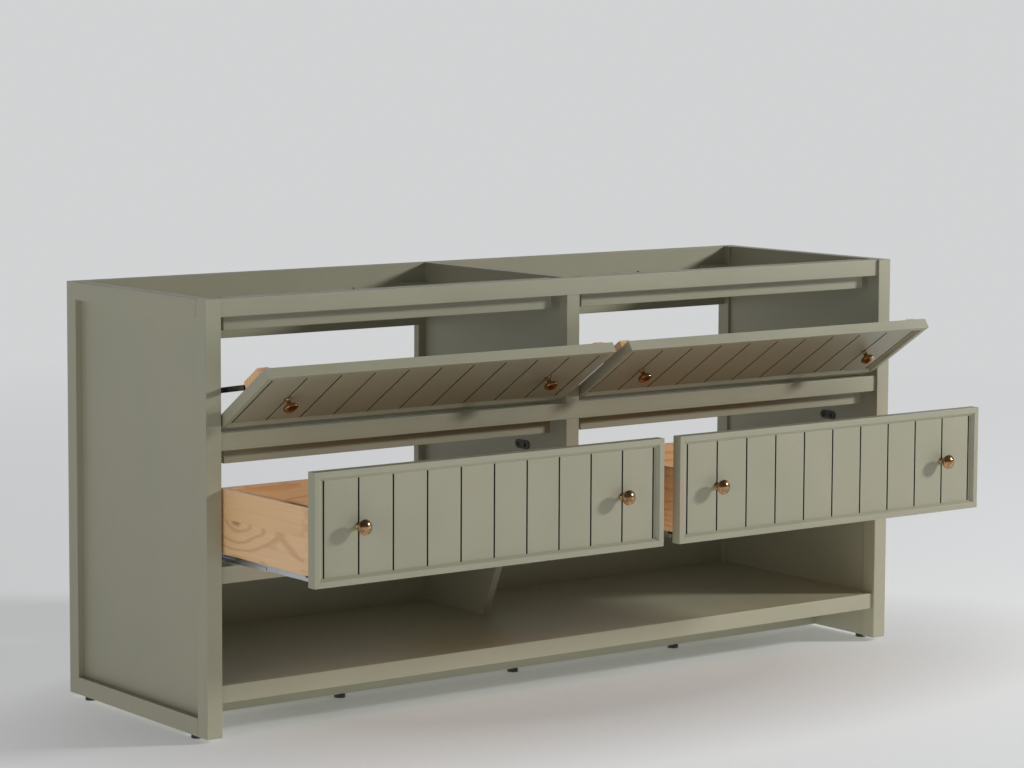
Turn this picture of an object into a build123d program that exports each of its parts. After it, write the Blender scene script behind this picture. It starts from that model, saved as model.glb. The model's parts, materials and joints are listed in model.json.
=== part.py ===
from build123d import *
import math
import os

# Bathroom vanity cabinet for two basins, millimetres, +Z up, front towards -Y.
# Every piece is first drawn with the cabinet shut, in a working frame whose origin is the
# front left floor corner. The drawers are then slid out, the tilt fronts dropped open, and
# the whole cabinet moved so that the origin is the centre of its footprint on the floor.

# ---- overall ----
WIDTH = 1829.0
DEPTH = 546.0
HEIGHT = 876.0
FOOT_HEIGHT = 8.0

# ---- carcass frame ----
POST = 36.0                 # square corner posts
CENTRE_STILE = 34.0
TOP_RAIL = 36.0
MID_RAIL = 35.0
LOW_RAIL = 34.0
SHELF_RAIL = 35.0
SHELF_RAIL_BOTTOM = 76.0
SHELF_OPENING = 203.0       # clear height above the open shelf
DRAWER_OPENING = 229.0
RAIL_SETBACK = 5.0          # front rails stand behind the face of the posts
STOP_PLAY = 2.0             # rails thicker than the inset fronts, so a shut front clears its stop
SIDE_RAIL = 37.0
SIDE_RECESS = 15.0          # side panel behind the outer face of its frame
SIDE_PANEL = 15.0
GROOVE_DEPTH = 8.0
GROOVE_PLAY = 0.2
EASE = 1.0                  # eased long edges of painted boards

# ---- inner carcass ----
PARTITION = 18.0
FOOT_DEPTH_TOP = 306.0      # partition's foot, slanted at the front: its depth at the top
FOOT_DEPTH_BOTTOM = 219.0   # and at the shelf
SHELF_THICK = 18.0
BACK_BOARD = 140.0
BACK_BOARD_THICK = 20.0
BACK_STILE = 52.0
BACK_STILE_THICK = 18.0
SHELF_BACK_THICK = 12.0
SHELF_BACK_RISE = 31.0      # shelf back above the underside of the low rail
TOE_BOARD_DEPTH = 200.0
TOE_BOARD_THICK = 18.0
STOP_STRIP = 65.0
STOP_STRIP_THICK = 15.0
STOP_STRIP_DROP = 29.0      # how far a stop strip hangs below its rail
STOP_STRIP_END = 24.0       # from the strip's end to the edge of the bay
WALL_HOLE_R = 3.0
WALL_HOLE_PITCH = 406.4
WALL_HOLE_DROP = 50.0
FOOT_R = 12.0
FOOT_STEM_R = 4.0
FOOT_STEM = 22.0
FOOT_BEHIND_POST = 26.0
HOLE_PLAY = 0.05
CORNER_BLOCK = 78.0         # blocks glued in the back corners, against the back board
CORNER_BLOCK_THICK = 13.0
CORNER_BLOCK_HEIGHT = 60.0
CORNER_BLOCK_DROP = 42.0    # below the cabinet's upper edge

# ---- inset fronts ----
FRONT_THICK = 22.0
FRONT_GAP = 4.0
FRAME_BORDER = 17.5
FRAME_BEVEL = 5.8           # round the inside of the frame
PANEL_RECESS = 6.3
PANEL_LAP = 6.0             # how far the panel sits under the frame
PANEL_PLAY = 0.2
BOARDS = 10                 # beadboard strips across one front
BEAD_MARGIN = 6.7           # first groove from the frame
BEAD_WIDTH = 3.6
BEAD_DEPTH = 3.4

# ---- knobs ----
KNOB_R = 15.6
KNOB_NECK_R = 4.2
KNOB_BASE_R = 7.5
KNOB_LENGTH = 30.0
KNOB_RIM = 8.0              # widest part of the knob, behind its tip
KNOB_SCREW_R = 2.0
KNOB_SCREW_HEAD_R = 4.5
KNOB_SCREW_HEAD = 2.5
KNOB_THREAD = 10.0          # how deep the screw enters the knob

# ---- drawer box ----
PULL = 325.0                # how far the drawers stand open
BOX_SIDE_GAP = 5.0
BOX_BOARD = 15.0
BOX_HEIGHT = 130.0
BOX_REAR_GAP = 189.0        # behind the shut drawer, to the back board: room for traps and valves
BOX_FLOOR_GAP = 26.0        # under the box, above the rail below it
BOX_BOTTOM = 9.0
BOX_BOTTOM_RISE = 13.0
BOX_GROOVE = 6.0
TAILS = 5
TAIL_WIDE = 17.0
TAIL_NARROW = 11.0

# ---- undermount runners ----
RUNNER_SHEET = 1.5
RUNNER_BEHIND_POST = 4.0
RUNNER_REAR_GAP = 181.0     # behind the fixed rail, to the back board
RUNNER_LIFT = 4.0           # fixed rail above the low rail
RUNNER_SIDE_GAP = 4.0       # from the inside of the drawer side to the fixed rail's first lip
RUNNER_WIDTH = 20.0
RUNNER_LIP = 8.0
RUNNER_FLANGE = 22.0        # height of the fixed rail's wall flange
RUNNER_PLAY = 0.4
SLIDER_END_GAP = 5.0        # shut slider from each end of the fixed rail
SLIDER_HEIGHT = 8.0
CHANNEL_END_GAP = 2.0       # behind the channel, to the box back
CHANNEL_FLANGE = 5.0
CLIP_PLAY = 1.0             # clip from the box side and box front
CLIP_LENGTH = 19.0
CLIP_WIDTH = 25.0
CLIP_HEIGHT = 22.0
CLIP_WALL = 3.0
CLIP_FLOOR = 8.0
CLIP_LEVER = 10.0           # how far the release lever reaches forward

# ---- tilt fronts ----
TILT_ANGLE = 56.5           # how far the tilt fronts stand open
PIVOT_BEHIND = 7.0          # pivot behind the front's face
PIVOT_ABOVE = 12.0          # pivot above the front's lower edge
PIN_R = 2.5
PIN_END_WALL = 1.0          # wood left between the pin's end and the panel's rabbet
PIN_IN_BUSH = 8.0
BUSH_R = 4.5
BUSH_LENGTH = 10.0
BUSH_LIP = 0.8
RUN_PLAY = 0.05
BLOCK_HEIGHT = 58.0
BLOCK_TOP = 28.0            # below the front's upper edge
BLOCK_WIDTH = 26.0
BLOCK_THICK = 15.0
BLOCK_END = 1.0             # block from the end of the front

# ---- stay arms ----
STAY_RISE = 112.0           # arm pin above the tilt pivot, on the front
STAY_BACK = 8.0             # arm pin behind the front's back face
STAY_STUD_DEPTH = 110.0     # fixed stud behind the face of the posts
STAY_STUD_HEIGHT = 52.0     # fixed stud above the tilt pivot
STAY_X = 7.0                # arm's outer face from the edge of the bay
STAY_THICK = 3.0
STAY_HALF_WIDTH = 5.5
STAY_PIN_R = 2.5
STAY_SLOT_R = 3.2
STAY_TAIL = 9.0
STAY_SLOT_START = 2.0       # slot runs this far past the stud when the front is shut
STAY_SLOT_END = 0.3         # and this far when it is open on its stop
STAY_SIDE_PLAY = 0.3
STUD_HEAD_R = 4.5
STUD_HEAD = 1.4
STUD_NECK_R = 5.0
STUD_PLATE_R = 12.0
STUD_PLATE = 2.0
BRACKET_SHEET = 2.0
BRACKET_HALF = 8.0          # half the height of a bracket
BRACKET_BASE = 20.0
BRACKET_ROUND = 5.0

# ---- oblong hole plates in the drawer bays ----
PLATE_LENGTH = 48.0
PLATE_HEIGHT = 19.0
PLATE_THICK = 2.5
PLATE_HOLE_R = 5.0
PLATE_HOLE_PITCH = 24.0
PLATE_HOLE_DEPTH = 6.0
PLATE_DEPTH = 165.0
PLATE_ABOVE_BOX = 2.0       # centre of the plate above the drawer box

# ---- levels and planes worked out from the sizes above ----
SHELF_Z = SHELF_RAIL_BOTTOM + SHELF_RAIL
LOW_RAIL_Z = SHELF_Z + SHELF_OPENING
DRAWER_Z = LOW_RAIL_Z + LOW_RAIL
MID_RAIL_Z = DRAWER_Z + DRAWER_OPENING
TILT_Z = MID_RAIL_Z + MID_RAIL
TOP_RAIL_Z = HEIGHT - TOP_RAIL
RAIL_BACK = RAIL_SETBACK + FRONT_THICK + STOP_PLAY
BAY = (WIDTH - 2 * POST - CENTRE_STILE) / 2
SIDE_INNER = SIDE_RECESS + SIDE_PANEL
BACK_FACE = DEPTH - BACK_BOARD_THICK
FRONT_WIDTH = BAY - 2 * FRONT_GAP
FRONT_BACK = RAIL_SETBACK + FRONT_THICK
PANEL_FACE = RAIL_SETBACK + PANEL_RECESS
BOX_Z = DRAWER_Z + BOX_FLOOR_GAP
BOX_LENGTH = BACK_FACE - FRONT_BACK - BOX_REAR_GAP
RUNNER_FRONT = POST + RUNNER_BEHIND_POST
RUNNER_LENGTH = BACK_FACE - RUNNER_FRONT - RUNNER_REAR_GAP
RUNNER_INSET = BOX_SIDE_GAP + BOX_BOARD + RUNNER_SIDE_GAP
CHANNEL_FRONT = FRONT_BACK + BOX_BOARD + CLIP_PLAY + CLIP_LENGTH
FOOT_INSET = POST + FOOT_BEHIND_POST
SHELF_BACK_TOP = LOW_RAIL_Z + SHELF_BACK_RISE
PLATE_Z = BOX_Z + BOX_HEIGHT + PLATE_ABOVE_BOX
PIN_IN_FRONT = FRAME_BORDER - PANEL_LAP - PANEL_PLAY - PIN_END_WALL
KNOB_TIP = PANEL_FACE - KNOB_LENGTH - PULL
PIVOT_Y = RAIL_SETBACK + PIVOT_BEHIND
PIVOT_Z = TILT_Z + FRONT_GAP + PIVOT_ABOVE

# Each bay runs from its left edge to its right edge; walls are the faces the hardware
# is fixed to: the side panel's inner face and the partition.
BAYS = {
    "left": {"x0": POST, "wall0": SIDE_INNER, "wall1": (WIDTH - PARTITION) / 2},
    "right": {"x0": WIDTH - POST - BAY, "wall0": (WIDTH + PARTITION) / 2, "wall1": WIDTH - SIDE_INNER},
}

ORIGIN_SHIFT = Pos(-WIDTH / 2, -(DEPTH + KNOB_TIP) / 2, 0)


def block(x0, x1, y0, y1, z0, z1):
    """A plain box between six planes."""
    return Pos(x0, y0, z0) * Box(x1 - x0, y1 - y0, z1 - z0, align=(Align.MIN, Align.MIN, Align.MIN))


def board(x0, x1, y0, y1, z0, z1, ease=EASE):
    """A box whose long edges are eased."""
    body = block(x0, x1, y0, y1, z0, z1)
    spans = {Axis.X: x1 - x0, Axis.Y: y1 - y0, Axis.Z: z1 - z0}
    long_axis = max(spans, key=spans.get)
    return fillet(body.edges().filter_by(long_axis), ease)


def rod_x(x0, x1, y, z, radius):
    """A round bar along X."""
    bar = Cylinder(radius, x1 - x0, align=(Align.CENTER, Align.CENTER, Align.MIN))
    return Pos(x0, y, z) * Rot(0, 90, 0) * bar


def rod_y(x, y0, y1, z, radius):
    """A round bar along Y."""
    bar = Cylinder(radius, y1 - y0, align=(Align.CENTER, Align.CENTER, Align.MIN))
    return Pos(x, y0, z) * Rot(-90, 0, 0) * bar


def outline_x(points, x0, x1):
    """A closed outline in the Y-Z plane, drawn out along X."""
    face = make_face(Polyline(*[(0, y, z) for y, z in points], close=True))
    solid = extrude(face, amount=x1 - x0, dir=(1, 0, 0))
    return Pos(x0, 0, 0) * solid


def solids_of(shape):
    return list(shape.solids())


def save(name, *shapes, place=None):
    """Write one node, whatever number of separate solids it holds."""
    solids = [solid for shape in shapes for solid in solids_of(shape)]
    group = solids[0] if len(solids) == 1 else Compound(children=solids)
    if place is not None:
        group = place * group
    export_step(ORIGIN_SHIFT * group, f"parts/{name}.step")


def mirror_in_bay(bay, shape):
    """The same piece at the other end of the bay."""
    middle = bay["x0"] + BAY / 2
    return mirror(shape, Plane.YZ.offset(middle))


def side_frame(name, outer, inward):
    """One side of the cabinet: two posts, two rails and a recessed flat panel.

    outer is the X of its outer face, and inward is +1 or -1 towards the cabinet."""

    def span(a, b):
        return sorted((outer + inward * a, outer + inward * b))

    panel_x0, panel_x1 = span(SIDE_RECESS, SIDE_INNER)
    panel_z0 = FOOT_HEIGHT + SIDE_RAIL
    panel_z1 = HEIGHT - SIDE_RAIL
    lap = GROOVE_DEPTH
    panel = block(panel_x0, panel_x1, POST - lap, DEPTH - POST + lap, panel_z0 - lap, panel_z1 + lap)
    reach = GROOVE_DEPTH + GROOVE_PLAY
    groove = block(
        panel_x0, panel_x1, POST - reach, DEPTH - POST + reach, panel_z0 - reach, panel_z1 + reach
    )
    post_x = span(0, POST)
    rail_x = span(0, SIDE_INNER)
    front_post = board(*post_x, 0, POST, FOOT_HEIGHT, HEIGHT, ease=1.5) - groove
    back_post = board(*post_x, DEPTH - POST, DEPTH, FOOT_HEIGHT, HEIGHT) - groove
    top_rail = board(*rail_x, POST, DEPTH - POST, panel_z1, HEIGHT) - groove
    bottom_rail = board(*rail_x, POST, DEPTH - POST, FOOT_HEIGHT, panel_z0) - groove
    for foot_x, foot_y in side_feet(outer, inward):
        bottom_rail -= foot_stem(foot_x, foot_y, HOLE_PLAY)

    front_post -= rod_x(*span(POST - BUSH_LENGTH, POST + 1), PIVOT_Y, PIVOT_Z, BUSH_R + HOLE_PLAY)
    save(f"{name}_front_post", front_post)
    save(f"{name}_back_post", back_post)
    save(f"{name}_side_rails", top_rail, bottom_rail)
    if name == "right":
        panel -= plate_holes(outer - SIDE_INNER)
    save(f"{name}_side_panel", panel)


def side_feet(outer, inward):
    x = outer + inward * SIDE_INNER / 2
    return [(x, FOOT_INSET), (x, DEPTH - FOOT_INSET)]


def toe_feet():
    y = TOE_BOARD_DEPTH + TOE_BOARD_THICK / 2
    return [(WIDTH * step / 4, y) for step in (1, 2, 3)]


def foot_stem(x, y, play=0.0):
    stem = Cylinder(FOOT_STEM_R + play, FOOT_STEM, align=(Align.CENTER, Align.CENTER, Align.MIN))
    return Pos(x, y, FOOT_HEIGHT) * stem


def levelling_feet():
    """Round feet with threaded stems, under both sides and under the toe board."""
    places = side_feet(0, 1) + side_feet(WIDTH, -1) + toe_feet()
    feet = []
    for x, y in places:
        pad = Cylinder(FOOT_R, FOOT_HEIGHT, align=(Align.CENTER, Align.CENTER, Align.MIN))
        pad = chamfer(pad.edges().group_by(Axis.Z)[-1], 1.5)
        feet.append(Pos(x, y, 0) * pad + foot_stem(x, y))
    save("levelling_feet", *feet)


def front_rails():
    """The four long rails of the face frame and the two short stiles at its centre."""
    x0, x1 = POST, WIDTH - POST
    levels = {
        "front_top_rail": (TOP_RAIL_Z, HEIGHT),
        "front_mid_rail": (MID_RAIL_Z, TILT_Z),
        "front_low_rail": (LOW_RAIL_Z, DRAWER_Z),
        "front_shelf_rail": (SHELF_RAIL_BOTTOM, SHELF_Z),
    }
    for name, (z0, z1) in levels.items():
        save(name, board(x0, x1, RAIL_SETBACK, RAIL_BACK, z0, z1))
    stile_x0 = (WIDTH - CENTRE_STILE) / 2
    stile_x1 = (WIDTH + CENTRE_STILE) / 2
    upper = board(stile_x0, stile_x1, RAIL_SETBACK, RAIL_BACK, TILT_Z, TOP_RAIL_Z)
    lower = board(stile_x0, stile_x1, RAIL_SETBACK, RAIL_BACK, DRAWER_Z, MID_RAIL_Z)
    for bush_x0, bush_x1 in ((stile_x0 - 1, stile_x0 + BUSH_LENGTH), (stile_x1 - BUSH_LENGTH, stile_x1 + 1)):
        upper -= rod_x(bush_x0, bush_x1, PIVOT_Y, PIVOT_Z, BUSH_R + HOLE_PLAY)
    save("centre_stiles", upper, lower)


def plate_holes(wall_x):
    """The pair of blind holes that a hole plate covers, drilled to its right in the wall."""
    holes = []
    for step in (-0.5, 0.5):
        y = PLATE_DEPTH + step * PLATE_HOLE_PITCH
        holes.append(rod_x(wall_x - 1, wall_x + PLATE_HOLE_DEPTH, y, PLATE_Z, PLATE_HOLE_R))
    return holes


def hole_plates():
    """Thin oblong plates with two round holes, one on the right wall of each drawer bay."""
    plates = []
    for bay in BAYS.values():
        wall = bay["wall1"]
        on_wall = Plane(origin=(wall, PLATE_DEPTH, PLATE_Z), x_dir=(0, 1, 0), z_dir=(-1, 0, 0))
        plate = extrude(on_wall * SlotOverall(PLATE_LENGTH, PLATE_HEIGHT), PLATE_THICK)
        for step in (-0.5, 0.5):
            y = PLATE_DEPTH + step * PLATE_HOLE_PITCH
            plate -= rod_x(wall - PLATE_THICK - 1, wall + 1, y, PLATE_Z, PLATE_HOLE_R)
        plates.append(plate)
    save("hole_plates", *plates)


def inner_carcass():
    """Partition, shelf, backs, toe board and stop strips."""
    partition_x = BAYS["left"]["wall1"]
    outline = [
        (RAIL_BACK, HEIGHT),
        (RAIL_BACK, LOW_RAIL_Z),
        (BACK_FACE - FOOT_DEPTH_TOP, LOW_RAIL_Z),
        (BACK_FACE - FOOT_DEPTH_BOTTOM, SHELF_Z),
        (BACK_FACE, SHELF_Z),
        (BACK_FACE, HEIGHT),
    ]
    partition = outline_x(outline, partition_x, partition_x + PARTITION)
    partition -= plate_holes(partition_x)
    save("centre_partition", partition)

    shelf = block(SIDE_INNER, WIDTH - SIDE_INNER, RAIL_BACK, BACK_FACE, SHELF_Z - SHELF_THICK, SHELF_Z)
    for x0 in (0, WIDTH - POST):
        for y0 in (0, DEPTH - POST):
            shelf -= block(x0, x0 + POST, y0, y0 + POST, 0, HEIGHT)
    save("shelf", shelf)
    back_y1 = BACK_FACE + SHELF_BACK_THICK
    shelf_back = block(POST, WIDTH - POST, BACK_FACE, back_y1, SHELF_Z - SHELF_THICK, SHELF_BACK_TOP)
    save("shelf_back", shelf_back)

    board_z = HEIGHT - BACK_BOARD
    back_board = board(POST, WIDTH - POST, BACK_FACE, DEPTH, board_z, HEIGHT)
    for side in (-1, 1):
        for step in (0.5, 1.5):
            x = WIDTH / 2 + side * step * WALL_HOLE_PITCH
            back_board -= rod_y(x, BACK_FACE - 1, DEPTH + 1, HEIGHT - WALL_HOLE_DROP, WALL_HOLE_R)
    save("back_top_board", back_board)
    save(
        "back_centre_stile",
        board(
            (WIDTH - BACK_STILE) / 2,
            (WIDTH + BACK_STILE) / 2,
            BACK_FACE,
            BACK_FACE + BACK_STILE_THICK,
            SHELF_BACK_TOP,
            board_z,
        ),
    )

    toe_top = SHELF_Z - SHELF_THICK
    toe = board(
        SIDE_INNER,
        WIDTH - SIDE_INNER,
        TOE_BOARD_DEPTH,
        TOE_BOARD_DEPTH + TOE_BOARD_THICK,
        FOOT_HEIGHT,
        toe_top,
    )
    for x, y in toe_feet():
        toe -= foot_stem(x, y, HOLE_PLAY)
    save("toe_board", toe)

    strips = []
    for bay in BAYS.values():
        for rail_bottom in (TOP_RAIL_Z, MID_RAIL_Z):
            z0 = rail_bottom - STOP_STRIP_DROP
            x0 = bay["x0"] + STOP_STRIP_END
            x1 = bay["x0"] + BAY - STOP_STRIP_END
            strips.append(board(x0, x1, RAIL_BACK, RAIL_BACK + STOP_STRIP_THICK, z0, z0 + STOP_STRIP))
    save("stop_strips", *strips)

    blocks = []
    top = HEIGHT - CORNER_BLOCK_DROP
    y0 = BACK_FACE - CORNER_BLOCK_THICK
    for bay in BAYS.values():
        for x0 in (max(bay["wall0"], POST), min(bay["wall1"], WIDTH - POST) - CORNER_BLOCK):
            blocks.append(board(x0, x0 + CORNER_BLOCK, y0, BACK_FACE, top - CORNER_BLOCK_HEIGHT, top))
    save("corner_blocks", *blocks)


def framed_front(x0, z0, z1):
    """An inset front: a mitred frame, and a beadboard panel that sits in its back."""
    x1 = x0 + FRONT_WIDTH
    y0, y1 = RAIL_SETBACK, FRONT_BACK
    frame = board(x0, x1, y0, y1, z0, z1)
    b = FRAME_BORDER
    opening = block(x0 + b, x1 - b, y0 - 1, y1 + 1, z0 + b, z1 - b)
    lap = b - PANEL_LAP - PANEL_PLAY
    rabbet = block(x0 + lap, x1 - lap, PANEL_FACE, y1 + 1, z0 + lap, z1 - lap)
    frame = frame - opening - rabbet
    face_edges = frame.edges().filter_by_position(Axis.Y, y0 - 0.01, y0 + 0.01)
    inner = face_edges.filter_by_position(Axis.X, x0 + b - 1, x1 - b + 1)
    inner = inner.filter_by_position(Axis.Z, z0 + b - 1, z1 - b + 1)
    frame = chamfer(inner, FRAME_BEVEL)

    lap = b - PANEL_LAP
    panel = block(x0 + lap, x1 - lap, PANEL_FACE, y1, z0 + lap, z1 - lap)
    pitch = bead_pitch()
    for count in range(BOARDS + 1):
        x = x0 + b + BEAD_MARGIN + count * pitch
        bead = make_face(
            Polyline(
                (x - BEAD_WIDTH / 2, PANEL_FACE - 0.01),
                (x + BEAD_WIDTH / 2, PANEL_FACE - 0.01),
                (x, PANEL_FACE + BEAD_DEPTH),
                close=True,
            )
        )
        panel -= Pos(0, 0, z0) * extrude(bead, z1 - z0)
    return frame, panel


def bead_pitch():
    return (FRONT_WIDTH - 2 * FRAME_BORDER - 2 * BEAD_MARGIN) / BOARDS


def knob_places(x0):
    """Knobs stand on the second groove in from each end."""
    first = x0 + FRAME_BORDER + BEAD_MARGIN
    return [first + bead_pitch(), first + (BOARDS - 1) * bead_pitch()]


def knob(x, z, grip):
    """A round knob on the panel, and its screw through a thickness grip from behind."""
    length = KNOB_LENGTH
    rim = length - KNOB_RIM
    dome = (length**2 - KNOB_R**2 - rim**2) / (2 * (length - rim))
    dome_r = length - dome
    half = math.atan2(KNOB_R, rim - dome) / 2
    profile = [
        Line((0, 0), (KNOB_BASE_R, 0)),
        Line((KNOB_BASE_R, 0), (KNOB_BASE_R, 1.4)),
        ThreePointArc((KNOB_BASE_R, 1.4), (KNOB_NECK_R + 1.0, 2.6), (KNOB_NECK_R, 5.5)),
        ThreePointArc((KNOB_NECK_R, 5.5), (KNOB_NECK_R + 0.4, 9.5), (KNOB_NECK_R + 2.4, 13.0)),
        ThreePointArc((KNOB_NECK_R + 2.4, 13.0), (KNOB_R - 2.4, 16.4), (KNOB_R, rim)),
        ThreePointArc((KNOB_R, rim), (dome_r * math.sin(half), dome + dome_r * math.cos(half)), (0, length)),
        Line((0, length), (0, 0)),
    ]
    body = revolve(make_face(profile), Axis.Y)
    rim_edge = body.edges().filter_by(GeomType.CIRCLE).filter_by_position(Axis.Y, rim - 0.1, rim + 0.1)
    body = fillet(rim_edge, 1.6)
    body = Pos(x, PANEL_FACE, z) * Rot(180, 0, 0) * body
    thread_end = PANEL_FACE - KNOB_THREAD
    body -= rod_y(x, thread_end, PANEL_FACE + 1, z, KNOB_SCREW_R + 0.02)
    shank = rod_y(x, thread_end, PANEL_FACE + grip, z, KNOB_SCREW_R)
    head = rod_y(x, PANEL_FACE + grip, PANEL_FACE + grip + KNOB_SCREW_HEAD, z, KNOB_SCREW_HEAD_R)
    return body, shank + head


def dovetails(x0, x1, end_y, step):
    """Tails at one end of a box side, from the end face back into the side.

    step is +1 where the side runs towards +Y from this end, and -1 where it runs to -Y."""
    tails = []
    pitch = BOX_HEIGHT / TAILS
    for count in range(TAILS):
        middle = BOX_Z + pitch * (count + 0.5)
        outline = [
            (end_y, middle - TAIL_WIDE / 2),
            (end_y, middle + TAIL_WIDE / 2),
            (end_y + step * BOX_BOARD, middle + TAIL_NARROW / 2),
            (end_y + step * BOX_BOARD, middle - TAIL_NARROW / 2),
        ]
        tails.append(outline_x(outline, x0, x1))
    return tails


def drawer(name, bay):
    """A drawer: applied framed front, dovetailed box, runner channels, clips and knobs."""
    out = Pos(0, -PULL, 0)
    front_x = bay["x0"] + FRONT_GAP
    front_z0 = DRAWER_Z + FRONT_GAP
    front_z1 = MID_RAIL_Z - FRONT_GAP
    frame, panel = framed_front(front_x, front_z0, front_z1)
    x0 = bay["x0"] + BOX_SIDE_GAP
    x1 = bay["x0"] + BAY - BOX_SIDE_GAP
    y0 = FRONT_BACK
    y1 = FRONT_BACK + BOX_LENGTH
    z0, z1 = BOX_Z, BOX_Z + BOX_HEIGHT
    t = BOX_BOARD
    floor_z = z0 + BOX_BOTTOM_RISE
    g = BOX_GROOVE
    floor_x0, floor_x1 = x0 + t - g, x1 - t + g
    floor = block(floor_x0, floor_x1, y0 + t - g, y1 - t + g, floor_z, floor_z + BOX_BOTTOM)

    sides = []
    all_tails = []
    for side_x0 in (x0, x1 - t):
        body = block(side_x0, side_x0 + t, y0 + t, y1 - t, z0, z1)
        tails = dovetails(side_x0, side_x0 + t, y0, 1) + dovetails(side_x0, side_x0 + t, y1, -1)
        all_tails += tails
        sides.append(body + tails - floor)
    box_front = block(x0, x1, y0, y0 + t, z0, z1) - all_tails - floor
    box_back = block(x0, x1, y1 - t, y1, z0, z1) - all_tails - floor

    screw_grip = y0 + t - PANEL_FACE
    knob_z = (front_z0 + front_z1) / 2
    knobs = []
    for x in knob_places(front_x):
        turned, screw = knob(x, knob_z, screw_grip)
        hole = rod_y(x, PANEL_FACE - 1, y0 + t + 1, knob_z, KNOB_SCREW_R + HOLE_PLAY)
        panel -= hole
        box_front -= hole
        knobs += [turned, screw]

    save(f"{name}_drawer_front_frame", frame, place=out)
    save(f"{name}_drawer_front_panel", panel, place=out)
    save(f"{name}_drawer_sides", *sides, place=out)
    save(f"{name}_drawer_box_front", box_front, place=out)
    save(f"{name}_drawer_box_back", box_back, place=out)
    save(f"{name}_drawer_bottom", floor, place=out)
    save(f"{name}_drawer_knobs", *knobs, place=out)

    channel = runner_channel(bay, floor_z)
    clip = locking_clip(bay, floor_z)
    save(f"{name}_drawer_channels", channel, mirror_in_bay(bay, channel), place=out)
    save(f"{name}_drawer_clips", clip, mirror_in_bay(bay, clip), place=out)


def runner_lips(bay):
    """Inner and outer X of the fixed rail's two lips, and the height of its floor."""
    x0 = bay["x0"] + RUNNER_INSET
    return x0, x0 + RUNNER_WIDTH, DRAWER_Z + RUNNER_LIFT


def fixed_rail(bay, wall):
    """Fixed runner rail: wall flange, floor and two upright lips."""
    lip0, lip1, z0 = runner_lips(bay)
    s = RUNNER_SHEET
    y0, y1 = RUNNER_FRONT, RUNNER_FRONT + RUNNER_LENGTH
    rail = block(wall, lip1, y0, y1, z0, z0 + s)
    rail += block(wall, wall + s, y0, y1, z0, z0 + RUNNER_FLANGE)
    rail += block(lip0, lip0 + s, y0, y1, z0, z0 + RUNNER_LIP)
    rail += block(lip1 - s, lip1, y0, y1, z0, z0 + RUNNER_LIP)
    return rail


def runner_slider(bay):
    """Middle member: an open channel between the fixed rail's lips."""
    lip0, lip1, z0 = runner_lips(bay)
    s = RUNNER_SHEET
    p = RUNNER_PLAY
    x0, x1 = lip0 + s + p, lip1 - s - p
    z0 = z0 + s + p
    y0 = RUNNER_FRONT + SLIDER_END_GAP
    y1 = RUNNER_FRONT + RUNNER_LENGTH - SLIDER_END_GAP
    slider = block(x0, x1, y0, y1, z0, z0 + s)
    slider += block(x0, x0 + s, y0, y1, z0, z0 + SLIDER_HEIGHT)
    slider += block(x1 - s, x1, y0, y1, z0, z0 + SLIDER_HEIGHT)
    return slider


def runner_channel(bay, floor_z):
    """Drawer member: an inverted channel with flanges, fixed under the drawer bottom."""
    lip0, lip1, z0 = runner_lips(bay)
    s = RUNNER_SHEET
    p = RUNNER_PLAY
    x0, x1 = lip0 + 2 * (s + p), lip1 - 2 * (s + p)
    z0 = z0 + 2 * (s + p)
    y0 = CHANNEL_FRONT
    y1 = FRONT_BACK + BOX_LENGTH - BOX_BOARD - CHANNEL_END_GAP
    channel = block(x0 - CHANNEL_FLANGE, x1 + CHANNEL_FLANGE, y0, y1, floor_z - s, floor_z)
    channel += block(x0, x0 + s, y0, y1, z0, floor_z)
    channel += block(x1 - s, x1, y0, y1, z0, floor_z)
    return channel


def locking_clip(bay, floor_z):
    """Plastic clip under the front corner of the drawer, with its release lever."""
    x0 = bay["x0"] + BOX_SIDE_GAP + BOX_BOARD + CLIP_PLAY
    x1 = x0 + CLIP_WIDTH
    y0 = FRONT_BACK + BOX_BOARD + CLIP_PLAY
    y1 = CHANNEL_FRONT
    z0 = floor_z - CLIP_HEIGHT
    w = CLIP_WALL
    clip = block(x0, x1, y0, y1, z0, floor_z)
    clip -= block(x0 + w, x1 - w, y0 - 1, y1 - w, z0 + CLIP_FLOOR, floor_z - w)
    lever = block(x0 + 4, x0 + 12, y0 - CLIP_LEVER, y0, z0, z0 + 5)
    return clip + lever


def runners():
    rails = []
    for name, bay in BAYS.items():
        rails.append(fixed_rail(bay, bay["wall0"]))
        other_wall = 2 * bay["x0"] + BAY - bay["wall1"]
        rails.append(mirror_in_bay(bay, fixed_rail(bay, other_wall)))
        slider = runner_slider(bay)
        half_out = Pos(0, -PULL / 2, 0)
        save(f"{name}_runner_sliders", slider, mirror_in_bay(bay, slider), place=half_out)
    save("runner_rails", *rails)


def tilt_open(shape):
    """Turn a piece of a tilt front from shut to open about its pivot."""
    return Pos(0, PIVOT_Y, PIVOT_Z) * Rot(TILT_ANGLE, 0, 0) * Pos(0, -PIVOT_Y, -PIVOT_Z) * shape


def arm_pin(angle):
    """Place of the arm's pin, in Y and Z, with the front open by angle degrees."""
    back = FRONT_BACK + STAY_BACK - PIVOT_Y
    turn = math.radians(angle)
    y = back * math.cos(turn) - STAY_RISE * math.sin(turn)
    z = back * math.sin(turn) + STAY_RISE * math.cos(turn)
    return PIVOT_Y + y, PIVOT_Z + z


def arm_reach(angle):
    """Distance and slope in degrees from the arm's pin to the fixed stud."""
    y, z = arm_pin(angle)
    dy = STAY_STUD_DEPTH - y
    dz = PIVOT_Z + STAY_STUD_HEIGHT - z
    return math.hypot(dy, dz), math.degrees(math.atan2(dz, dy))


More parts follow.
